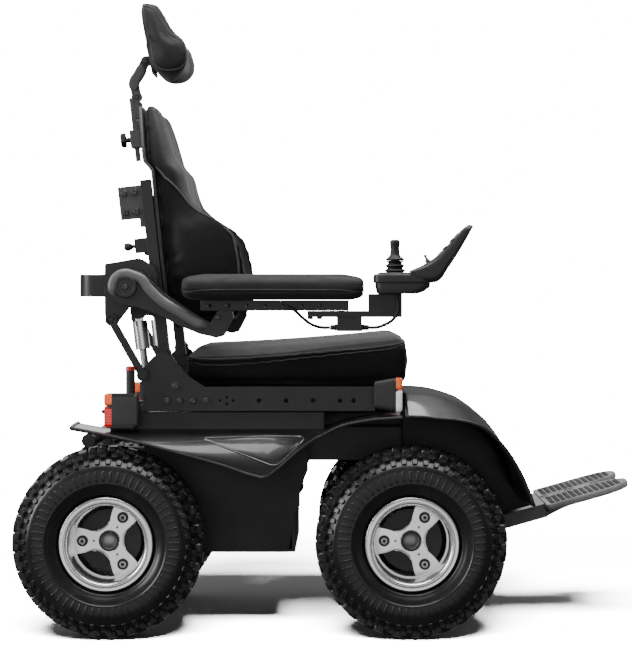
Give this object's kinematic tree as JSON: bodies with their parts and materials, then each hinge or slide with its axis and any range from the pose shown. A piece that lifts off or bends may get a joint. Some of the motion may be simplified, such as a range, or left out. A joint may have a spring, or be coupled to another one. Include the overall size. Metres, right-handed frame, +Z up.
{
  "type": "power wheelchair",
  "caption": "All-terrain power wheelchair: driven wheels on a battery base, tilting seat, reclining winged back, flip-up armrests, joystick pod, head rest and flip-up foot plates.",
  "frame": {"origin": "middle of the chair's footprint box on the ground under the tyres", "axes": "+X forward, the way the rider faces; +Y to the rider's left; +Z up"},
  "size_m": [1.16, 0.6796, 1.209],
  "materials": {
    "frame_black": "satin",
    "shroud_gloss": "gloss",
    "panel_matte": "matte",
    "pod_plastic": "matte",
    "battery_case": "matte",
    "tyre": "matte",
    "alloy": "satin",
    "steel": "brushed",
    "cover_fabric": "matte",
    "cover_vinyl": "satin",
    "soft_rubber": "matte",
    "lens_red": "gloss",
    "lens_clear": "gloss",
    "plate_grey": "matte"
  },
  "bodies": {
    "chassis": {"chassis_frame": "frame_black", "batteries": "battery_case", "side_panels": "panel_matte", "shroud_right": "shroud_gloss", "shroud_left": "shroud_gloss", "front_cover": "shroud_gloss", "rear_motors": "frame_black", "rear_lamp_housings": "panel_matte", "rear_lamp_lenses": "lens_red", "footrest_beam": "frame_black"},
    "wheel_rear_right": {"tyre_rear_right": "tyre", "rim_rear_right": "alloy", "hub_rear_right": "steel"},
    "wheel_rear_left": {"tyre_rear_left": "tyre", "rim_rear_left": "alloy", "hub_rear_left": "steel"},
    "steer_right": {"knuckle_right": "frame_black"},
    "steer_left": {"knuckle_left": "frame_black"},
    "wheel_front_right": {"tyre_front_right": "tyre", "rim_front_right": "alloy", "hub_front_right": "steel"},
    "wheel_front_left": {"tyre_front_left": "tyre", "rim_front_left": "alloy", "hub_front_left": "steel"},
    "seat": {"seat_rails": "frame_black", "seat_pan": "frame_black", "seat_cushion": "cover_fabric", "front_lamp_housings": "panel_matte", "front_lamp_lenses": "lens_clear", "rail_bolts": "steel"},
    "backrest": {"back_frame": "frame_black", "back_shell": "panel_matte", "back_pad": "cover_fabric", "back_brackets": "alloy"},
    "recline_rods": {"actuator_rods": "steel"},
    "recline_tubes": {"actuator_tubes": "alloy"},
    "arm_carrier": {"arm_brackets": "frame_black", "push_bar": "frame_black"},
    "links": {"arm_links": "frame_black"},
    "armrest_right": {"arm_lever_right": "frame_black", "arm_pad_right": "cover_vinyl", "control_bar": "frame_black", "junction_box": "panel_matte", "control_cables": "soft_rubber", "pod_body": "pod_plastic", "pod_panel": "pod_plastic"},
    "armrest_left": {"arm_lever_left": "frame_black", "arm_pad_left": "cover_vinyl"},
    "gimbal": {"joystick_gimbal": "steel"},
    "joystick": {"joystick_stick": "pod_plastic", "joystick_boot": "soft_rubber"},
    "power_key": {"power_button": "pod_plastic"},
    "horn_key": {"horn_button": "pod_plastic"},
    "toggle": {"speed_toggle": "pod_plastic"},
    "head_stem": {"headrest_stem": "frame_black"},
    "head_arm": {"headrest_arm": "frame_black"},
    "head_pad": {"headrest_plate": "frame_black", "headrest_pad": "cover_vinyl"},
    "foot_right": {"footplate_right": "plate_grey"},
    "foot_left": {"footplate_left": "plate_grey"}
  },
  "joints": [
    {"name": "rear_right_roll", "type": "hinge", "parent": "chassis", "child": "wheel_rear_right", "pos_m": [-0.4025, -0.2675, 0.1775], "axis": [0, 1, 0], "continuous": true},
    {"name": "rear_left_roll", "type": "hinge", "parent": "chassis", "child": "wheel_rear_left", "pos_m": [-0.4025, 0.2675, 0.1775], "axis": [0, 1, 0], "continuous": true},
    {"name": "steer_right_turn", "type": "hinge", "parent": "chassis", "child": "steer_right", "pos_m": [0.1565, -0.19, 0.1775], "axis": [0, 0, 1], "range_deg": [-15, 15]},
    {"name": "steer_left_turn", "type": "hinge", "parent": "chassis", "child": "steer_left", "pos_m": [0.1565, 0.19, 0.1775], "axis": [0, 0, 1], "range_deg": [-15, 15]},
    {"name": "front_right_roll", "type": "hinge", "parent": "steer_right", "child": "wheel_front_right", "pos_m": [0.1565, -0.2675, 0.1775], "axis": [0, 1, 0], "continuous": true},
    {"name": "front_left_roll", "type": "hinge", "parent": "steer_left", "child": "wheel_front_left", "pos_m": [0.1565, 0.2675, 0.1775], "axis": [0, 1, 0], "continuous": true},
    {"name": "seat_tilt", "type": "hinge", "parent": "chassis", "child": "seat", "pos_m": [-0.345, 0, 0.425], "axis": [0, -1, 0], "range_deg": [0, 20]},
    {"name": "back_recline", "type": "hinge", "parent": "seat", "child": "backrest", "pos_m": [-0.305, 0, 0.525], "axis": [0, -1, 0], "range_deg": [0, 30]},
    {"name": "rod_swing", "type": "hinge", "parent": "seat", "child": "recline_rods", "pos_m": [-0.3406, 0, 0.4844], "axis": [0, -1, 0], "range_deg": [-1, 23]},
    {"name": "tube_stroke", "type": "slide", "parent": "recline_rods", "child": "recline_tubes", "axis": [-0.1226, 0, 0.9925], "range_m": [-0.025, 0.001]},
    {"name": "carrier_turn", "type": "hinge", "parent": "backrest", "child": "arm_carrier", "pos_m": [-0.327, 0, 0.676], "axis": [0, -1, 0], "range_deg": [-15, 1]},
    {"name": "link_swing", "type": "hinge", "parent": "seat", "child": "links", "pos_m": [-0.3406, 0, 0.4844], "axis": [0, -1, 0], "range_deg": [-1, 33]},
    {"name": "arm_right_flip", "type": "hinge", "parent": "arm_carrier", "child": "armrest_right", "pos_m": [-0.369, -0.284, 0.648], "axis": [0, -1, 0], "range_deg": [0, 100]},
    {"name": "arm_left_flip", "type": "hinge", "parent": "arm_carrier", "child": "armrest_left", "pos_m": [-0.369, 0.284, 0.648], "axis": [0, -1, 0], "range_deg": [0, 100]},
    {"name": "stick_fore_aft", "type": "hinge", "parent": "armrest_right", "child": "gimbal", "pos_m": [0.126, -0.284, 0.655], "axis": [0, 1, 0], "range_deg": [-12, 12], "stiffness_Nm_per_rad": 0.6},
    {"name": "stick_side", "type": "hinge", "parent": "gimbal", "child": "joystick", "pos_m": [0.126, -0.284, 0.655], "axis": [1, 0, 0], "range_deg": [-12, 12], "stiffness_Nm_per_rad": 0.6},
    {"name": "power_press", "type": "slide", "parent": "armrest_right", "child": "power_key", "axis": [0.7314, 0, -0.682], "range_m": [0, 0.0015], "stiffness_N_per_m": 900},
    {"name": "horn_press", "type": "slide", "parent": "armrest_right", "child": "horn_key", "axis": [0.7314, 0, -0.682], "range_m": [0, 0.0015], "stiffness_N_per_m": 900},
    {"name": "speed_flick", "type": "hinge", "parent": "armrest_right", "child": "toggle", "pos_m": [0.1862, -0.284, 0.69524], "axis": [0, 1, 0], "range_deg": [-20, 20], "stiffness_Nm_per_rad": 0.05},
    {"name": "head_rise", "type": "slide", "parent": "backrest", "child": "head_stem", "axis": [-0.1097, 0, 0.994], "range_m": [0, 0.04]},
    {"name": "head_arm_turn", "type": "hinge", "parent": "head_stem", "child": "head_arm", "pos_m": [-0.37621, 0, 1.0242], "axis": [0, -1, 0], "range_deg": [-25, 25]},
    {"name": "head_pad_turn", "type": "hinge", "parent": "head_arm", "child": "head_pad", "pos_m": [-0.35902, 0, 1.09451], "axis": [0, -1, 0], "range_deg": [-25, 25]},
    {"name": "foot_right_flip", "type": "hinge", "parent": "chassis", "child": "foot_right", "pos_m": [0.41857, -0.012, 0.22722], "axis": [-0.9627, 0, -0.2706], "range_deg": [0, 85]},
    {"name": "foot_left_flip", "type": "hinge", "parent": "chassis", "child": "foot_left", "pos_m": [0.41857, 0.012, 0.22722], "axis": [0.9627, 0, 0.2706], "range_deg": [0, 85]}
  ],
  "couplings": [
    {"joint": "steer_left_turn", "follows": "steer_right_turn", "ratio": 1},
    {"joint": "rod_swing", "follows": "back_recline", "ratio": 0.7312},
    {"joint": "tube_stroke", "follows": "back_recline", "m_per_rad": -0.04505},
    {"joint": "carrier_turn", "follows": "back_recline", "ratio": -0.4813},
    {"joint": "link_swing", "follows": "back_recline", "ratio": 1.0697}
  ]
}
